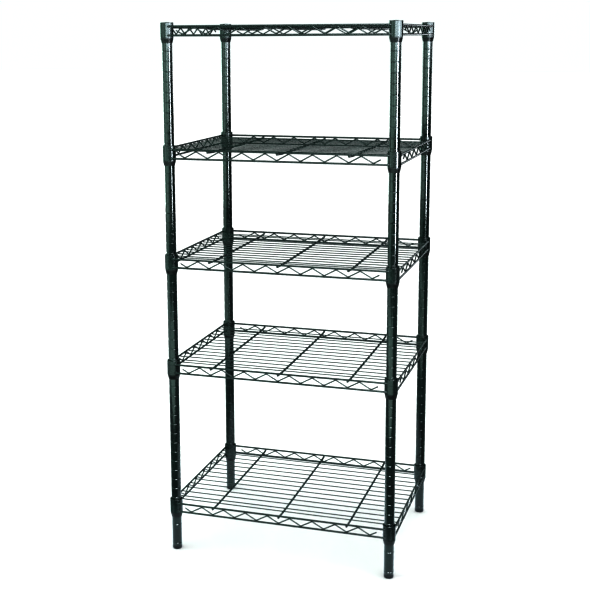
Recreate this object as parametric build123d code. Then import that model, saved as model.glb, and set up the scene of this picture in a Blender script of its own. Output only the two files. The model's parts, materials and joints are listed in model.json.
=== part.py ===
"""Five-tier wire shelving rack on four grooved posts, built as separate pieces.

Millimetres, +Z up, +X to the right, front towards -Y. The origin is on the floor,
at the centre of the four posts. Every function makes one kind of piece, and the
loops at the end put the copies in place and write one STEP file per node.
"""
from build123d import *
from math import cos, hypot, sin, radians
import os

# ---- rack: driving dimensions ----------------------------------------------------
INCH = 25.4
SHELF_WIDTH = 609.6          # over the corner collars, left to right
SHELF_DEPTH = 457.2          # over the corner collars, front to back
RACK_HEIGHT = 1385.9         # floor to the top of the post caps

# ---- posts -----------------------------------------------------------------------
POST_DIA = 25.4
POST_WALL = 1.2
GROOVE_PITCH = INCH
FIRST_GROOVE_Z = 70.5
GROOVE_DEPTH = 0.7
GROOVE_HALF_FLOOR = 0.7      # half of the flat floor of a groove
GROOVE_HALF_MOUTH = 1.5      # half of its mouth at the post surface
SEAM_GROOVE = 33             # the two lengths of each post meet at this groove
LAST_GROOVE = 51
SEAM_CHAMFER = 1.1
SEAM_GAP = 0.1
END_LAND = 0.1               # flat ring left on a tube end inside the chamfer
CRIMP_Z = 18.0               # rolled dent that holds the foot insert

# ---- fittings inside and under the posts --------------------------------------------
INSERT_CLEARANCE = 0.05      # plugs inside the tube
STUD_DIA = 9.8
STUD_CLEARANCE = 0.08
STUD_TIP_CHAMFER = 1.0
FOOT_HEIGHT = 7.9
FOOT_DIA = 25.0
FOOT_ROUND = 2.6
FOOT_TOP_CHAMFER = 0.4
FOOT_STUD_LENGTH = 28.0
FOOT_GAP = 0.1
INSERT_FLANGE = 1.5
INSERT_FLANGE_STEP = 0.1     # the flange is this much smaller in radius than the post
INSERT_LENGTH = 20.0
SEAM_PLUG_LENGTH = 22.0
SEAM_PLUG_INSET = 1.0        # each seam plug stops this far inside its tube
SEAM_STUD_SHORT = 2.0        # the stud stops this far above the insert's lower end
CAP_HEAD = 2.5
CAP_DOME = 1.5               # rise of the head's rounded top
CAP_PLUG = 12.0
CAP_PLUG_WALL = 2.0
CAP_PLUG_TAPER = 0.4
CAP_HEAD_HOLLOW = 1.0        # the plug's hollow stops this far below the head

# ---- shelf collars and split sleeves -------------------------------------------------
# Every height in this block and the next is measured down from the top of the collar.
SHELF_NAMES = ("bottom", "second", "middle", "fourth", "top")
SHELF_GROOVES = (2, 17, 28, 39, 51)      # groove that each shelf's sleeves clip into
COLLAR_ABOVE_GROOVE = 19.1   # collar top above the sleeve's groove
COLLAR_DIA = 33.0
COLLAR_HEIGHT = 37.5
COLLAR_EDGE = 0.5
SLEEVE_TOP = 7.0
SLEEVE_BOTTOM = 50.0
SLEEVE_TOP_RADIUS = 13.85
SLEEVE_WEDGE_RADIUS = 14.9   # at the collar's lower edge
SHOULDER_RADIUS = 15.9       # visible skirt under the collar
SHOULDER_DROP = 2.2          # straight part of the skirt
SKIRT_RADIUS = 13.5          # bottom edge of the skirt
WEDGE_GAP = 0.15             # sleeve to collar, radial
SHOULDER_GAP = 0.1
SLEEVE_BORE_GAP = 0.05
SPLIT_GAP = 0.2
RIB_SIDE_GAP = 0.1           # the sleeve's rib to each side of the groove floor
RIB_SLOPE = 0.5              # height of the rib's sloping flanks

# ---- shelf wires ---------------------------------------------------------------------
RIM_DIA = 4.7
RIM_OUTSET = 13.0            # rim wires lie this far outside the post axes
TOP_RIM = 9.5
LOW_RIM = 31.5
COPE_RADIUS = 15.8           # the rim ends are cut to sit in the collar wall
ZIGZAG_DIA = 3.2
ZIGZAG_HALF_PITCH = 30.15
ZIGZAG_TOP = 12.3
ZIGZAG_LOW = 28.7
ZIGZAG_BEND = 5.0
ZIGZAG_TAIL = 0.56           # the last run stops this far along
LONG_BENDS = 8               # bends each side of the middle, front and back trusses
SIDE_BENDS = 5               # the same on the side trusses
RIB_DIA = 5.2
RIB_SPACING = 6 * ZIGZAG_HALF_PITCH
RIB_BEND = 40.0              # gentle bend where a rib rises to the rim
MAT_DIA = 2.5
MAT_PITCH = 30.0
MAT_ROWS = 6                 # evenly spaced rows each side of the middle
MAT_EDGE = 185.0             # the extra row beyond them, from the middle
WELD_SINK = 0.3              # how far welded wires sink into each other

# ---- worked out ----------------------------------------------------------------------
POST_X = (SHELF_WIDTH - COLLAR_DIA) / 2
POST_Y = (SHELF_DEPTH - COLLAR_DIA) / 2
POST_R = POST_DIA / 2
BORE_R = POST_R - POST_WALL
PLUG_R = BORE_R - INSERT_CLEARANCE
STUD_R = STUD_DIA / 2
COLLAR_R = COLLAR_DIA / 2
RIM_R = RIM_DIA / 2
MAT_DEPTH = TOP_RIM + RIM_R + MAT_DIA / 2 - WELD_SINK
RIB_DEPTH = MAT_DEPTH + MAT_DIA / 2 + RIB_DIA / 2 - WELD_SINK
RIB_END_DEPTH = TOP_RIM + RIM_R + RIB_DIA / 2 - WELD_SINK
LOWER_POST_BOTTOM = FOOT_HEIGHT + FOOT_GAP + INSERT_FLANGE
SEAM_Z = FIRST_GROOVE_Z + SEAM_GROOVE * GROOVE_PITCH
UPPER_POST_TOP = RACK_HEIGHT - CAP_HEAD
CORNERS = {
    "front_left": (-POST_X, -POST_Y),
    "front_right": (POST_X, -POST_Y),
    "back_left": (-POST_X, POST_Y),
    "back_right": (POST_X, POST_Y),
}


def groove_z(number):
    return FIRST_GROOVE_Z + number * GROOVE_PITCH


def turned(outline):
    """Solid of revolution about Z from (radius, height) points."""
    face = make_face(Plane.XZ * Polyline(*outline, close=True))
    return revolve(face, Axis.Z)


def groove_outline(z):
    """Outline of one rolled groove, going up."""
    floor = POST_R - GROOVE_DEPTH
    return [
        (POST_R, z - GROOVE_HALF_MOUTH),
        (floor, z - GROOVE_HALF_FLOOR),
        (floor, z + GROOVE_HALF_FLOOR),
        (POST_R, z + GROOVE_HALF_MOUTH),
    ]


def lower_post():
    top = SEAM_Z - SEAM_GAP / 2
    outline = [(BORE_R, LOWER_POST_BOTTOM), (POST_R, LOWER_POST_BOTTOM)]
    for z in [CRIMP_Z] + [groove_z(n) for n in range(SEAM_GROOVE)]:
        outline += groove_outline(z)
    outline += [(POST_R, top - SEAM_CHAMFER), (BORE_R + END_LAND, top)]
    outline.append((BORE_R, top))
    return turned(outline)


def upper_post():
    bottom = SEAM_Z + SEAM_GAP / 2
    outline = [(BORE_R, bottom), (BORE_R + END_LAND, bottom)]
    outline.append((POST_R, bottom + SEAM_CHAMFER))
    for number in range(SEAM_GROOVE + 1, LAST_GROOVE + 1):
        outline += groove_outline(groove_z(number))
    outline += [(POST_R, UPPER_POST_TOP), (BORE_R, UPPER_POST_TOP)]
    return turned(outline)


def threaded_plug(bottom, top):
    """Ring with a stud bore, pressed into a post end."""
    bore = STUD_R + STUD_CLEARANCE
    return turned([(bore, bottom), (PLUG_R, bottom), (PLUG_R, top), (bore, top)])


def seam_insert():
    """Threaded plug in the top of a lower post."""
    top = SEAM_Z - SEAM_PLUG_INSET
    return threaded_plug(top - SEAM_PLUG_LENGTH, top)


def seam_stud():
    """Plug in the bottom of an upper post, with the stud that screws down."""
    bottom = SEAM_Z + SEAM_PLUG_INSET
    top = bottom + SEAM_PLUG_LENGTH
    tip = bottom - SEAM_PLUG_LENGTH + SEAM_STUD_SHORT
    return turned([
        (0, tip), (STUD_R - STUD_TIP_CHAMFER, tip), (STUD_R, tip + STUD_TIP_CHAMFER),
        (STUD_R, bottom), (PLUG_R, bottom), (PLUG_R, top), (0, top),
    ])


def foot_insert():
    """Flanged threaded plug in the bottom of a lower post."""
    bore = STUD_R + STUD_CLEARANCE
    bottom = FOOT_HEIGHT + FOOT_GAP
    flange_top = bottom + INSERT_FLANGE
    top = flange_top + INSERT_LENGTH
    rim = POST_R - INSERT_FLANGE_STEP
    return turned([
        (bore, bottom), (rim, bottom), (rim, flange_top), (PLUG_R, flange_top),
        (PLUG_R, top), (bore, top),
    ])


def levelling_foot():
    """Round pad with a rounded lower edge and a stud that screws into the post."""
    pad_r = FOOT_DIA / 2
    floor_r = pad_r - FOOT_ROUND
    stud_top = FOOT_HEIGHT + FOOT_STUD_LENGTH
    bulge = FOOT_ROUND * (1 - sin(radians(45)))
    profile = Polyline(
        (0, 0), (floor_r, 0)
    ) + ThreePointArc(
        (floor_r, 0), (pad_r - bulge, bulge), (pad_r, FOOT_ROUND)
    ) + Polyline(
        (pad_r, FOOT_ROUND), (pad_r, FOOT_HEIGHT - FOOT_TOP_CHAMFER),
        (pad_r - FOOT_TOP_CHAMFER, FOOT_HEIGHT), (STUD_R, FOOT_HEIGHT),
        (STUD_R, stud_top - STUD_TIP_CHAMFER), (STUD_R - STUD_TIP_CHAMFER, stud_top),
        (0, stud_top), (0, 0)
    )
    return revolve(make_face(Plane.XZ * profile), Axis.Z)


def post_cap():
    """Plastic cap: a low dome over the tube end and a plug inside it."""
    head_r = POST_R
    crown = (0, RACK_HEIGHT)
    dome_r = (head_r ** 2 + CAP_DOME ** 2) / (2 * CAP_DOME)
    halfway_drop = dome_r - (dome_r ** 2 - (head_r / 2) ** 2) ** 0.5
    middle = (head_r / 2, RACK_HEIGHT - halfway_drop)
    shoulder = (head_r, RACK_HEIGHT - CAP_DOME)
    plug_end = UPPER_POST_TOP - CAP_PLUG
    hollow_r = PLUG_R - CAP_PLUG_WALL
    hollow_top = UPPER_POST_TOP - CAP_HEAD_HOLLOW
    profile = ThreePointArc(crown, middle, shoulder) + Polyline(
        shoulder, (head_r, UPPER_POST_TOP), (PLUG_R, UPPER_POST_TOP),
        (PLUG_R - CAP_PLUG_TAPER, plug_end), (hollow_r, plug_end),
        (hollow_r, hollow_top), (0, hollow_top), crown
    )
    return revolve(make_face(Plane.XZ * profile), Axis.Z)


def sleeve_radius(drop):
    """Outer radius of the sleeve's wedge, at a drop below the collar top."""
    share = (drop - SLEEVE_TOP) / (COLLAR_HEIGHT - SLEEVE_TOP)
    return SLEEVE_TOP_RADIUS + share * (SLEEVE_WEDGE_RADIUS - SLEEVE_TOP_RADIUS)


def collar():
    """Shelf corner collar, with its conical bore. Its top is at height 0."""
    top_bore = sleeve_radius(0) + WEDGE_GAP
    low_bore = sleeve_radius(COLLAR_HEIGHT) + WEDGE_GAP
    return turned([
        (low_bore, -COLLAR_HEIGHT), (COLLAR_R - COLLAR_EDGE, -COLLAR_HEIGHT),
        (COLLAR_R, -COLLAR_HEIGHT + COLLAR_EDGE), (COLLAR_R, -COLLAR_EDGE),
        (COLLAR_R - COLLAR_EDGE, 0), (top_bore + COLLAR_EDGE, 0), (top_bore, -COLLAR_EDGE),
    ])


def sleeve_halves():
    """Both halves of a split sleeve: wedge, skirt, and the rib that sits in a groove."""
    bore = POST_R + SLEEVE_BORE_GAP
    rib_r = POST_R - GROOVE_DEPTH + SLEEVE_BORE_GAP
    rib_z = -COLLAR_ABOVE_GROOVE
    rib_half = GROOVE_HALF_FLOOR - RIB_SIDE_GAP
    shoulder = -COLLAR_HEIGHT - SHOULDER_GAP
    whole = turned([
        (bore, -SLEEVE_BOTTOM), (SKIRT_RADIUS, -SLEEVE_BOTTOM),
        (SHOULDER_RADIUS, shoulder - SHOULDER_DROP), (SHOULDER_RADIUS, shoulder),
        (SLEEVE_WEDGE_RADIUS, shoulder), (SLEEVE_TOP_RADIUS, -SLEEVE_TOP),
        (bore, -SLEEVE_TOP), (bore, rib_z + rib_half + RIB_SLOPE), (rib_r, rib_z + rib_half),
        (rib_r, rib_z - rib_half), (bore, rib_z - rib_half - RIB_SLOPE),
    ])
    reach = 2 * COLLAR_DIA
    halves = []
    for side in (-1, 1):
        keep = Pos(0, side * (reach + SPLIT_GAP) / 2, -SLEEVE_BOTTOM / 2) * Box(reach, reach, reach)
        halves.append(whole & keep)
    return halves


def wire(start, end, diameter):
    """Straight round wire from one point to another."""
    line = Vector(*end) - Vector(*start)
    plane = Plane(origin=start, z_dir=line)
    return extrude(plane * Circle(diameter / 2), line.length)


def rim_wire(along_x, side, depth):
    """One rim wire. Each end is cut on a slant, so that it lies in the collar wall."""
    if along_x:
        post, across = POST_X, POST_Y + RIM_OUTSET
    else:
        post, across = POST_Y, POST_X + RIM_OUTSET
    entry = (COPE_RADIUS ** 2 - RIM_OUTSET ** 2) ** 0.5
    slant = Vector(entry, RIM_OUTSET) / hypot(entry, RIM_OUTSET)
    if along_x:
        rod = wire((-post, side * across, -depth), (post, side * across, -depth), RIM_DIA)
    else:
        rod = wire((side * across, -post, -depth), (side * across, post, -depth), RIM_DIA)
    for end in (-1, 1):
        if along_x:
            centre = Vector(end * post, side * POST_Y, 0)
            normal = Vector(-end * slant.X, side * slant.Y, 0)
        else:
            centre = Vector(side * POST_X, end * post, 0)
            normal = Vector(side * slant.Y, -end * slant.X, 0)
        cut = Plane(origin=centre + normal * COPE_RADIUS, z_dir=normal)
        rod = split(rod, bisect_by=cut, keep=Keep.TOP)
    return rod


def zigzag_points(bends):
    """Corners of the zigzag line as (distance along, height), low in the middle."""
    corners = [
        (number * ZIGZAG_HALF_PITCH, -ZIGZAG_TOP if number % 2 else -ZIGZAG_LOW)
        for number in range(-bends, bends + 1)
    ]
    end_x, end_height = corners[-1]
    tail_x = end_x + ZIGZAG_TAIL * ZIGZAG_HALF_PITCH
    tail_height = end_height + ZIGZAG_TAIL * (corners[-2][1] - end_height)
    return [(-tail_x, tail_height)] + corners + [(tail_x, tail_height)]


def zigzag_wire(along_x, side):
    """Bent zigzag wire between two rim wires, ending in a short free tail."""
    bends = LONG_BENDS if along_x else SIDE_BENDS
    across = side * ((POST_Y if along_x else POST_X) + RIM_OUTSET)
    points = []
    for distance, height in zigzag_points(bends):
        points.append((distance, across, height) if along_x else (across, distance, height))
    path = FilletPolyline(*points, radius=ZIGZAG_BEND)
    start = Plane(origin=path @ 0, z_dir=path % 0)
    return sweep(start * Circle(ZIGZAG_DIA / 2), path=path)


def mat_wires():
    """Floor of the shelf: thin wires welded under the left and right top rims."""
    half = POST_X + RIM_OUTSET
    rows = [MAT_PITCH * (number + 0.5) for number in range(MAT_ROWS)] + [MAT_EDGE]
    return [
        wire((-half, side * y, -MAT_DEPTH), (half, side * y, -MAT_DEPTH), MAT_DIA)
        for y in rows
        for side in (-1, 1)
    ]


def cross_ribs():
    """Thick wires under the mat. Past its last row their ends rise to the long top rims."""
    half = POST_Y + RIM_OUTSET
    ribs = []
    for x in (-RIB_SPACING, 0, RIB_SPACING):
        path = FilletPolyline(
            (x, -half, -RIB_END_DEPTH), (x, -MAT_EDGE, -RIB_DEPTH),
            (x, MAT_EDGE, -RIB_DEPTH), (x, half, -RIB_END_DEPTH), radius=RIB_BEND
        )
        start = Plane(origin=path @ 0, z_dir=path % 0)
        ribs.append(sweep(start * Circle(RIB_DIA / 2), path=path))
    return ribs


def place(solids, x=0, y=0, z=0):
    return [Pos(x, y, z) * solid for solid in solids]


def write(node, solids):
    shape = solids[0] if len(solids) == 1 else Compound(children=solids)
    export_step(shape, f"parts/{node}.step")


os.makedirs("parts", exist_ok=True)

for corner, (x, y) in CORNERS.items():
    write(f"lower_post_{corner}", place([lower_post()], x, y))
    write(f"upper_post_{corner}", place([upper_post()], x, y))
    write(f"post_cap_{corner}", place([post_cap()], x, y))
    write(f"levelling_foot_{corner}", place([levelling_foot()], x, y))

for node, make in (
    ("foot_inserts", foot_insert),
    ("seam_inserts", seam_insert),
    ("seam_studs", seam_stud),
):
    write(node, [Pos(x, y, 0) * make() for x, y in CORNERS.values()])

long_rims = [rim_wire(True, side, depth) for side in (-1, 1) for depth in (TOP_RIM, LOW_RIM)]
side_rims = [rim_wire(False, side, depth) for side in (-1, 1) for depth in (TOP_RIM, LOW_RIM)]
long_zigzags = [zigzag_wire(True, side) for side in (-1, 1)]
side_zigzags = [zigzag_wire(False, side) for side in (-1, 1)]
mat = mat_wires()
ribs = cross_ribs()
collars = [Pos(x, y, 0) * collar() for x, y in CORNERS.values()]
sleeves = [half for x, y in CORNERS.values() for half in place(sleeve_halves(), x, y)]

for shelf, groove in zip(SHELF_NAMES, SHELF_GROOVES):
    collar_top = groove_z(groove) + COLLAR_ABOVE_GROOVE
    write(f"{shelf}_long_rims", place(long_rims, z=collar_top))
    write(f"{shelf}_side_rims", place(side_rims, z=collar_top))
    write(f"{shelf}_long_zigzags", place(long_zigzags, z=collar_top))
    write(f"{shelf}_side_zigzags", place(side_zigzags, z=collar_top))
    write(f"{shelf}_mat_wires", place(mat, z=collar_top))
    write(f"{shelf}_cross_ribs", place(ribs, z=collar_top))
    write(f"{shelf}_collars", place(collars, z=collar_top))
    write(f"{shelf}_split_sleeves", place(sleeves, z=collar_top))
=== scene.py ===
import json
import math
import random

import bmesh
import bpy
from mathutils import Matrix, Vector


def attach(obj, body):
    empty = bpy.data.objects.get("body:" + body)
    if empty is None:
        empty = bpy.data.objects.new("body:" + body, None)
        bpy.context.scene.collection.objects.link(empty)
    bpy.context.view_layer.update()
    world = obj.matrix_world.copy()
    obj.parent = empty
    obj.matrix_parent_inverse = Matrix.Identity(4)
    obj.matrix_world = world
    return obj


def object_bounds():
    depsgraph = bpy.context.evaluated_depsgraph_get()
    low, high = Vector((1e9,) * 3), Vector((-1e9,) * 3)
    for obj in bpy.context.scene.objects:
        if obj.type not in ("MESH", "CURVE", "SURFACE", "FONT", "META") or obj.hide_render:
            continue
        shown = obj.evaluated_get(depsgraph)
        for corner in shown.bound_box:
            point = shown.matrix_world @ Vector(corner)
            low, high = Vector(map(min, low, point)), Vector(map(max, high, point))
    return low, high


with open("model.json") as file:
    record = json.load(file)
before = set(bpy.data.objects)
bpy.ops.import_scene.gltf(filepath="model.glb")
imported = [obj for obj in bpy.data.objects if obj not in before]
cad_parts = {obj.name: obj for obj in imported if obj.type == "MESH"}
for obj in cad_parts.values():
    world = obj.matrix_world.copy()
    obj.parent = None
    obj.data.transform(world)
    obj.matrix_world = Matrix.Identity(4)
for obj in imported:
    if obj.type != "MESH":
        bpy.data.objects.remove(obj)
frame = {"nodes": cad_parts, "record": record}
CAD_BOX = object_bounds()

# ---- names ------------------------------------------------------------------------------
NODES = frame["nodes"]
SHELVES = ("bottom", "second", "middle", "fourth", "top")
MM = 0.001
WELD_DISTANCE = 0.001 * MM   # vertices this near are one, when solids are told apart

# ---- camera -----------------------------------------------------------------------------
CAMERA_PLACE = (0.8265, -2.8455, 1.3476)
CAMERA_TURN = math.radians(17.64)        # to the left of +Y
CAMERA_TILT = math.radians(-10.03)       # below the horizon
CAMERA_ROLL = math.radians(-0.275)
CAMERA_LENS = 69.0
CAMERA_SHIFT = (0.0348, -0.0977)

# ---- colours, linear --------------------------------------------------------------------
EPOXY_DEEP = (0.005, 0.020, 0.017, 1)
EPOXY_LIGHT = (0.010, 0.038, 0.031, 1)
EPOXY_RUBBED = (0.055, 0.068, 0.064, 1)
PLASTIC_DEEP = (0.011, 0.018, 0.018, 1)
PLASTIC_LIGHT = (0.022, 0.031, 0.031, 1)
FOOT_DEEP = (0.013, 0.017, 0.020, 1)
FOOT_LIGHT = (0.027, 0.034, 0.038, 1)
ZINC_DARK = (0.34, 0.35, 0.36, 1)
ZINC_LIGHT = (0.62, 0.62, 0.60, 1)


# ---- materials --------------------------------------------------------------------------
class Paint:
    """A material in the making: its nodes, its links and its Principled shader."""

    def __init__(self, name):
        self.material = bpy.data.materials.new(name)
        self.material.use_nodes = True
        self.nodes = self.material.node_tree.nodes
        self.links = self.material.node_tree.links
        self.shader = self.nodes["Principled BSDF"]
        self.place = self.nodes.new("ShaderNodeTexCoord").outputs["Object"]

    def constants(self, **values):
        for socket, value in values.items():
            self.shader.inputs[socket.replace("_", " ")].default_value = value

    def noise(self, scale, detail=3.0, roughness=0.55, stretch=None):
        """Noise that is scale cycles to the metre, stretched where stretch is given."""
        node = self.nodes.new("ShaderNodeTexNoise")
        node.inputs["Scale"].default_value = scale
        node.inputs["Detail"].default_value = detail
        node.inputs["Roughness"].default_value = roughness
        source = self.place
        if stretch:
            mapping = self.nodes.new("ShaderNodeMapping")
            mapping.inputs["Scale"].default_value = stretch
            self.links.new(source, mapping.inputs["Vector"])
            source = mapping.outputs["Vector"]
        self.links.new(source, node.inputs["Vector"])
        return node.outputs["Fac"]

    def spread(self, value, low, high, to_low=0.0, to_high=1.0):
        """Value from low..high to to_low..to_high, held at both ends."""
        node = self.nodes.new("ShaderNodeMapRange")
        node.interpolation_type = "SMOOTHSTEP"
        for socket, number in (
            ("From Min", low), ("From Max", high), ("To Min", to_low), ("To Max", to_high)
        ):
            node.inputs[socket].default_value = number
        self.links.new(value, node.inputs["Value"])
        return node.outputs["Result"]

    def times(self, first, second):
        node = self.nodes.new("ShaderNodeMath")
        node.operation = "MULTIPLY"
        for socket, value in zip(node.inputs, (first, second)):
            if isinstance(value, float):
                socket.default_value = value
            else:
                self.links.new(value, socket)
        return node.outputs["Value"]

    def plus(self, first, second):
        node = self.nodes.new("ShaderNodeMath")
        node.operation = "ADD"
        node.use_clamp = True
        self.links.new(first, node.inputs[0])
        self.links.new(second, node.inputs[1])
        return node.outputs["Value"]

    def blend(self, share, first, second):
        """Colour from first to second as share goes from 0 to 1."""
        node = self.nodes.new("ShaderNodeMix")
        node.data_type = "RGBA"
        self.links.new(share, node.inputs["Factor"])
        for socket, value in (("A", first), ("B", second)):
            entry = next(s for s in node.inputs if s.name == socket and s.type == "RGBA")
            if isinstance(value, tuple):
                entry.default_value = value
            else:
                self.links.new(value, entry)
        return next(s for s in node.outputs if s.type == "RGBA")

    def edges(self, low, high):
        """1 on outer edges, 0 on flat and hollow places."""
        geometry = self.nodes.new("ShaderNodeNewGeometry")
        return self.spread(geometry.outputs["Pointiness"], low, high)

    def upward(self):
        """1 where the surface faces up."""
        geometry = self.nodes.new("ShaderNodeNewGeometry")
        split = self.nodes.new("ShaderNodeSeparateXYZ")
        self.links.new(geometry.outputs["Normal"], split.inputs["Vector"])
        return self.spread(split.outputs["Z"], 0.35, 0.95)

    def bump(self, height, distance, strength=1.0, under=None):
        node = self.nodes.new("ShaderNodeBump")
        node.inputs["Distance"].default_value = distance
        node.inputs["Strength"].default_value = strength
        self.links.new(height, node.inputs["Height"])
        if under is not None:
            self.links.new(under, node.inputs["Normal"])
        return node.outputs["Normal"]

    def use(self, **sources):
        for socket, source in sources.items():
            self.links.new(source, self.shader.inputs[socket.replace("_", " ")])
        return self.material


def epoxy(name, rub, gloss_range, coat):
    """Dark epoxy coating: slow colour drift, orange peel, rubbed edges, fine dust."""
    paint = Paint(name)
    paint.constants(Metallic=0.0, IOR=1.5, Coat_Weight=coat, Coat_Roughness=0.08)
    drift = paint.spread(paint.noise(14, detail=4), 0.32, 0.68)
    edges = paint.times(paint.edges(0.515, 0.60), paint.spread(paint.noise(260), 0.38, 0.62))
    dust = paint.times(paint.upward(), paint.spread(paint.noise(90, detail=5), 0.35, 0.75))
    worn = paint.plus(paint.times(edges, rub), paint.times(dust, 0.10))
    base = paint.blend(drift, EPOXY_DEEP, EPOXY_LIGHT)
    colour = paint.blend(worn, base, EPOXY_RUBBED)
    gloss = paint.plus(
        paint.spread(paint.noise(55, detail=5), 0.3, 0.7, *gloss_range), paint.times(worn, 0.25)
    )
    peel = paint.bump(paint.noise(420, detail=2), 0.003 * MM)
    specks = paint.bump(paint.noise(2400, detail=1), 0.0004 * MM, under=peel)
    return paint.use(Base_Color=colour, Roughness=gloss, Normal=specks)


def plastic(name, deep, light):
    """Satin moulded plastic with a fine spark-eroded grain and scuffed edges."""
    paint = Paint(name)
    paint.constants(Metallic=0.0, IOR=1.46)
    drift = paint.spread(paint.noise(45, detail=4), 0.32, 0.68)
    scuff = paint.times(paint.edges(0.51, 0.59), paint.spread(paint.noise(320), 0.4, 0.65))
    colour = paint.blend(paint.times(scuff, 0.5), paint.blend(drift, deep, light), EPOXY_RUBBED)
    gloss = paint.spread(paint.noise(120, detail=4), 0.3, 0.7, 0.28, 0.40)
    grain = paint.bump(paint.noise(3200, detail=2), 0.008 * MM, 0.6)
    return paint.use(Base_Color=colour, Roughness=gloss, Normal=grain)


def zinc(name):
    """Zinc-plated steel with turning marks round the Z axis."""
    paint = Paint(name)
    paint.constants(Metallic=1.0)
    marks = paint.noise(700, detail=2, stretch=(0.05, 0.05, 1.0))
    drift = paint.spread(paint.noise(150, detail=5), 0.3, 0.7)
    colour = paint.blend(drift, ZINC_DARK, ZINC_LIGHT)
    gloss = paint.spread(marks, 0.3, 0.7, 0.25, 0.45)
    lathe = paint.bump(marks, 0.02 * MM, 0.5)
    return paint.use(Base_Color=colour, Roughness=gloss, Normal=lathe)


MATERIALS = {
    "coated_post": epoxy("epoxy_on_posts", 0.40, (0.10, 0.20), 0.5),
    "coated_wire": epoxy("epoxy_on_wires", 0.25, (0.20, 0.32), 0.2),
    "coated_collar": epoxy("epoxy_on_collars", 0.30, (0.18, 0.26), 0.3),
    "black_plastic": plastic("sleeve_and_cap_plastic", PLASTIC_DEEP, PLASTIC_LIGHT),
    "foot_plastic": plastic("foot_plastic_satin", FOOT_DEEP, FOOT_LIGHT),
    "zinc_steel": zinc("zinc_plated_steel"),
}


def dress_cad_nodes():
    """Gives every CAD node the material of its slot in the record."""
    for part in frame["record"]["subparts"]:
        mesh = NODES[part["node"]].data
        mesh.materials.clear()
        mesh.materials.append(MATERIALS[part["material_slot"]])


# ---- weld beads -------------------------------------------------------------------------
def solid_boxes(node):
    """(lowest corner, highest corner) of each separate solid in a CAD node."""
    bm = bmesh.new()
    bm.from_mesh(NODES[node].data)
    bmesh.ops.remove_doubles(bm, verts=bm.verts, dist=WELD_DISTANCE)
    boxes, seen = [], set()
    for start in bm.verts:
        if start in seen:
            continue
        seen.add(start)
        stack, low, high = [start], start.co.copy(), start.co.copy()
        while stack:
            vert = stack.pop()
            low = Vector(map(min, low, vert.co))
            high = Vector(map(max, high, vert.co))
            for edge in vert.link_edges:
                other = edge.other_vert(vert)
                if other not in seen:
                    seen.add(other)
                    stack.append(other)
        boxes.append((low, high))
    bm.free()
    return boxes


HALF_PITCHES_PER_RIB = 6     # zigzag half pitches between two ribs
BEAD_TURNS = 12
BEAD_RINGS = 7
BEAD_SPREAD = (0.92, 1.08)   # of the beads' lengths
BIG_LUMP = 0.06
SMALL_LUMP = 0.04
# Half lengths along the wire, across it and up. The mat's are shares of the wire's radius.
MAT_CROSSING_BEAD = (1.9, 1.35, 0.75)
MAT_END_BEAD = (1.6, 1.35, 0.7)
MAT_END_INSET = 0.8
ZIGZAG_BEAD = (4.2 * MM, 1.25 * MM, 0.9 * MM)
RIB_END_BEAD = (3.3 * MM, 2.0 * MM, 0.9 * MM)
COLLAR_BEAD_HALF = 2.4 * MM
COLLAR_BEAD_SHARES = (1.22, 1.28)
COLLAR_BEAD_GAP = 1.4 * MM   # from the collar's face to the middle of the bead


def add_bead(bm, centre, along, across, sizes, dice):
    """A lumpy weld bead: half lengths sizes = along, across and up, round its centre."""
    along, across = Vector(along), Vector(across)
    up = along.cross(across)
    lumps = [dice.uniform(0, 2 * math.pi) for _ in range(3)]
    swell = dice.uniform(*BEAD_SPREAD)
    rings = []
    for ring in range(1, BEAD_RINGS):
        lean = math.pi * ring / BEAD_RINGS
        verts = []
        for turn in range(BEAD_TURNS):
            angle = 2 * math.pi * turn / BEAD_TURNS
            wave = math.sin(3 * angle + lumps[0]) * math.sin(2 * lean + lumps[1])
            lump = 1 + BIG_LUMP * wave
            lump += SMALL_LUMP * math.cos(2 * angle + lumps[2])
            verts.append(bm.verts.new(
                Vector(centre)
                + along * (sizes[0] * swell * math.cos(lean))
                + across * (sizes[1] * lump * math.sin(lean) * math.cos(angle))
                + up * (sizes[2] * lump * math.sin(lean) * math.sin(angle))
            ))
        rings.append(verts)
    for first, second in zip(rings, rings[1:]):
        for turn in range(BEAD_TURNS):
            after = (turn + 1) % BEAD_TURNS
            bm.faces.new((first[turn], first[after], second[after], second[turn]))
    for verts, side in ((rings[0], 1), (rings[-1], -1)):
        tip = bm.verts.new(Vector(centre) + along * (side * sizes[0] * swell))
        for turn in range(BEAD_TURNS):
            after = (turn + 1) % BEAD_TURNS
            pair = (verts[after], verts[turn])
            if side < 0:
                pair = pair[::-1]
            bm.faces.new((tip, *pair))


def mesh_piece(name, bm, material):
    """A smooth-shaded object made from bm, which is freed."""
    bmesh.ops.recalc_face_normals(bm, faces=bm.faces)
    mesh = bpy.data.meshes.new(name)
    bm.to_mesh(mesh)
    bm.free()
    for polygon in mesh.polygons:
        polygon.use_smooth = True
    mesh.materials.append(material)
    piece = bpy.data.objects.new(name, mesh)
    bpy.context.scene.collection.objects.link(piece)
    return piece


X, Y = Vector((1, 0, 0)), Vector((0, 1, 0))


def middle(box):
    """Centre of a (lowest corner, highest corner) pair."""
    return (box[0] + box[1]) / 2


def thickness(box):
    """Shortest side of a box, which is a wire's diameter."""
    return min(box[1] - box[0])


def scaled(shares, radius):
    return tuple(share * radius for share in shares)


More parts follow.
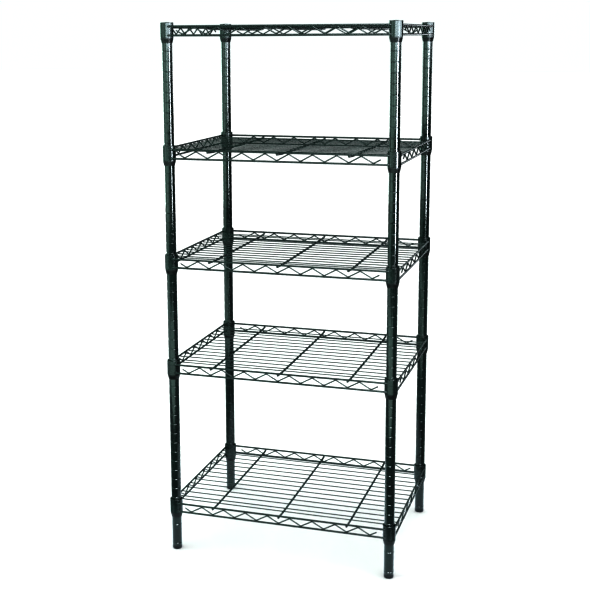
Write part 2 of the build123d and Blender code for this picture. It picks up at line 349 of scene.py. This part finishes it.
def mat_beads(shelf, dice):
    """Beads where the mat wires cross the ribs, and where they end under the side rims."""
    mat = solid_boxes(f"{shelf}_mat_wires")
    ribs = solid_boxes(f"{shelf}_cross_ribs")
    bm = bmesh.new()
    for wire in mat:
        row, radius = middle(wire), thickness(wire) / 2
        for rib in ribs:
            spot = (middle(rib).x, row.y, wire[0].z)
            add_bead(bm, spot, X, Y, scaled(MAT_CROSSING_BEAD, radius), dice)
        for end in (wire[0].x, wire[1].x):
            inward = -math.copysign(MAT_END_INSET * radius, end)
            spot = (end + inward, row.y, wire[1].z)
            add_bead(bm, spot, X, Y, scaled(MAT_END_BEAD, radius), dice)
    return mesh_piece(f"{shelf}_mat_welds", bm, MATERIALS["coated_wire"])


def truss_beads(shelf, dice):
    """Beads where the zigzags and the ribs meet the rims."""
    ribs = solid_boxes(f"{shelf}_cross_ribs")
    half_pitch = max(middle(rib).x for rib in ribs) / HALF_PITCHES_PER_RIB
    bm = bmesh.new()
    for kind, along, across in (("long", X, Y), ("side", Y, X)):
        rims = solid_boxes(f"{shelf}_{kind}_rims")
        radius = thickness(rims[0]) / 2
        rim_heights = sorted({round(middle(rim).z, 5) for rim in rims})
        low_z, top_z = rim_heights[0] + radius, rim_heights[-1] - radius
        for zigzag in solid_boxes(f"{shelf}_{kind}_zigzags"):
            centre = middle(zigzag)
            reach = (zigzag[1] - zigzag[0]).dot(along) / 2
            bends = int(reach / half_pitch)
            for number in range(-bends, bends + 1):
                spot = Vector(centre) + along * (number * half_pitch - centre.dot(along))
                spot.z = top_z if number % 2 else low_z
                add_bead(bm, spot, along, across, ZIGZAG_BEAD, dice)
        if kind == "long":
            for rib in ribs:
                for rim in rims:
                    if middle(rim).z > rim_heights[0] + radius:
                        spot = (middle(rib).x, middle(rim).y, middle(rim).z - radius)
                        add_bead(bm, spot, X, Y, RIB_END_BEAD, dice)
    return mesh_piece(f"{shelf}_truss_welds", bm, MATERIALS["coated_wire"])


def collar_beads(shelf, dice):
    """A fillet round each rim wire where it enters a collar."""
    collars = [(middle(box), (box[1].x - box[0].x) / 2) for box in solid_boxes(f"{shelf}_collars")]
    bm = bmesh.new()
    for kind, along, across in (("long", X, Y), ("side", Y, X)):
        for rim in solid_boxes(f"{shelf}_{kind}_rims"):
            centre, radius = middle(rim), thickness(rim) / 2
            for side in (-1, 1):
                end = centre.dot(along) + side * (rim[1] - rim[0]).dot(along) / 2
                post, collar_r = min(
                    collars,
                    key=lambda c: abs(c[0].dot(along) - end)
                    + abs(c[0].dot(across) - centre.dot(across)),
                )
                offset = centre.dot(across) - post.dot(across)
                entry = math.sqrt(collar_r ** 2 - offset ** 2)
                spot = along * (post.dot(along) - side * (entry + COLLAR_BEAD_GAP))
                spot += across * centre.dot(across)
                spot.z = centre.z
                sizes = (COLLAR_BEAD_HALF, *scaled(COLLAR_BEAD_SHARES, radius))
                add_bead(bm, spot, along, across, sizes, dice)
    return mesh_piece(f"{shelf}_collar_welds", bm, MATERIALS["coated_wire"])


# ---- stage ------------------------------------------------------------------------------
FLOOR_HALF = 40.0            # half the length of a side of the floor
GLOW_MARGIN = (0.20, 0.22)   # of the glow on the floor, past the rack in X and in Y
GLOW_LIFT = 1 * MM           # height of the glows over the floor
SHEEN_DROP = 0.5 * MM        # of the sheen under the glows, so that it does not hide them
FRONT_GLOW_Y = -2.0
SUN_STRENGTH = 5.2
SUN_SPREAD = math.radians(120)
FLOOR_COLOUR = (0.715, 0.725, 0.725, 1)
AIM = (0, 0, 0.75)           # point the panels face, a little above the rack's middle
PRINT_GAMMA = 0.48           # thin dark wires mix with the white as in a reduced print
COOL_WHITE = (0.92, 0.96, 1.0)
SKY_WHITE = (0.85, 0.95, 1.0)
BACKDROP_COLOUR = (1.0, 1.05, 1.05, 1)
BLUE_WHITE = (0.84, 0.94, 1.0)
GREEN_WHITE = (0.78, 1.0, 0.92)


def make_floor():
    """A pale floor. Gloss sees the floor panels of make_light instead of it."""
    paint = Paint("studio_floor")
    paint.constants(Base_Color=FLOOR_COLOUR, Roughness=0.9, Specular_IOR_Level=0.1)
    bm = bmesh.new()
    corners = [(-1, -1), (1, -1), (1, 1), (-1, 1)]
    bm.faces.new([bm.verts.new((x * FLOOR_HALF, y * FLOOR_HALF, 0)) for x, y in corners])
    floor = mesh_piece("studio_floor", bm, paint.material)
    floor.visible_glossy = False


def make_panel(
    name, azimuth, elevation, distance, size, radiance, colour, diffuse=False, aim=AIM
):
    """Rectangular light facing the point aim, seen in gloss and, if diffuse, lighting mattes.

    Azimuth 0 stands at -Y and 90 at +X. Angles are in degrees, and size is width and height.
    """
    width, tall = size
    light = bpy.data.lights.new(name, "AREA")
    light.shape = "RECTANGLE"
    light.size, light.size_y = width, tall
    light.energy = radiance * math.pi * width * tall
    light.color = colour
    panel = bpy.data.objects.new(name, light)
    turn, rise = math.radians(azimuth), math.radians(elevation)
    back = Vector((
        math.sin(turn) * math.cos(rise), -math.cos(turn) * math.cos(rise), math.sin(rise)
    ))
    panel.location = Vector(aim) + back * distance
    panel.rotation_euler = (math.pi / 2 - rise, 0, turn)
    panel.visible_camera = False
    panel.visible_diffuse = diffuse
    bpy.context.scene.collection.objects.link(panel)


def make_light():
    """The white backdrop, the light from above and the panels that the coatings mirror."""
    world = bpy.data.worlds.new("studio")
    bpy.context.scene.world = world
    world.use_nodes = True
    background = world.node_tree.nodes["Background"]
    background.inputs["Color"].default_value = BACKDROP_COLOUR
    world.cycles_visibility.glossy = False
    world.cycles_visibility.diffuse = False
    sun = bpy.data.lights.new("overhead", "SUN")
    sun.energy = SUN_STRENGTH
    sun.angle = SUN_SPREAD
    overhead = bpy.data.objects.new("overhead", sun)
    overhead.visible_glossy = False
    bpy.context.scene.collection.objects.link(overhead)
    glow = [2 * (CAD_BOX[1][axis] + GLOW_MARGIN[axis]) for axis in (0, 1)]
    drop = AIM[2] - GLOW_LIFT
    make_panel("floor_sheen", 0, -90, drop + SHEEN_DROP, (8.0, 8.0), 0.5, BLUE_WHITE)
    make_panel("floor_glow", 0, -90, drop, glow, 1.7, BLUE_WHITE)
    front = (0, FRONT_GLOW_Y, AIM[2])
    make_panel("front_glow", 0, -90, drop, (3.0, 1.6), 3.2, GREEN_WHITE, aim=front)
    make_panel("room", 10, 8, 4.5, (9.0, 3.0), 0.6, GREEN_WHITE)
    make_panel("left_wall", -66, 8, 3.2, (3.8, 3.4), 2.0, GREEN_WHITE, diffuse=True)
    make_panel("left_ceiling", -66, 50, 3.0, (3.8, 2.2), 2.4, GREEN_WHITE)
    make_panel("front_wall", -28, 6.7, 3.0, (3.2, 1.4), 2.5, GREEN_WHITE)
    make_panel("front_window", 12, 6.6, 3.2, (2.0, 0.45), 4.0, GREEN_WHITE)
    make_panel("side_strip", 60, 10, 1.4, (0.28, 0.70), 46.0, COOL_WHITE)
    make_panel("high_window", 55, 22, 3.0, (8.5, 1.2), 17.0, SKY_WHITE)
    make_panel("overhead_front", 14, 48, 2.8, (1.8, 0.8), 24.0, COOL_WHITE)
    make_panel("upper_right", 45, 62, 2.6, (1.6, 1.2), 12.0, COOL_WHITE)
    make_panel("back_window", 230, 14, 3.6, (2.2, 2.6), 4.0, GREEN_WHITE)
    make_panel("back_wall", 164, 5.7, 5.0, (1.7, 0.8), 4.3, COOL_WHITE)


def make_camera():
    """The camera at the photograph's viewing angle."""
    data = bpy.data.cameras.new("camera")
    data.lens = CAMERA_LENS
    data.sensor_fit = "HORIZONTAL"
    data.shift_x, data.shift_y = CAMERA_SHIFT
    camera = bpy.data.objects.new("camera", data)
    aim = Matrix.Rotation(CAMERA_TURN, 4, "Z") @ Matrix.Rotation(math.pi / 2 + CAMERA_TILT, 4, "X")
    aim = aim @ Matrix.Rotation(CAMERA_ROLL, 4, "Z")
    camera.matrix_world = Matrix.Translation(CAMERA_PLACE) @ aim
    bpy.context.scene.collection.objects.link(camera)
    bpy.context.scene.camera = camera


make_camera()
make_floor()
make_light()
bpy.context.scene.view_settings.view_transform = "Standard"
bpy.context.scene.view_settings.gamma = PRINT_GAMMA
dress_cad_nodes()

for shelf in SHELVES:
    dice = random.Random(shelf)
    for make_beads in (mat_beads, truss_beads, collar_beads):
        beads = make_beads(shelf, dice)
        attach(beads, f"{shelf}_shelf")
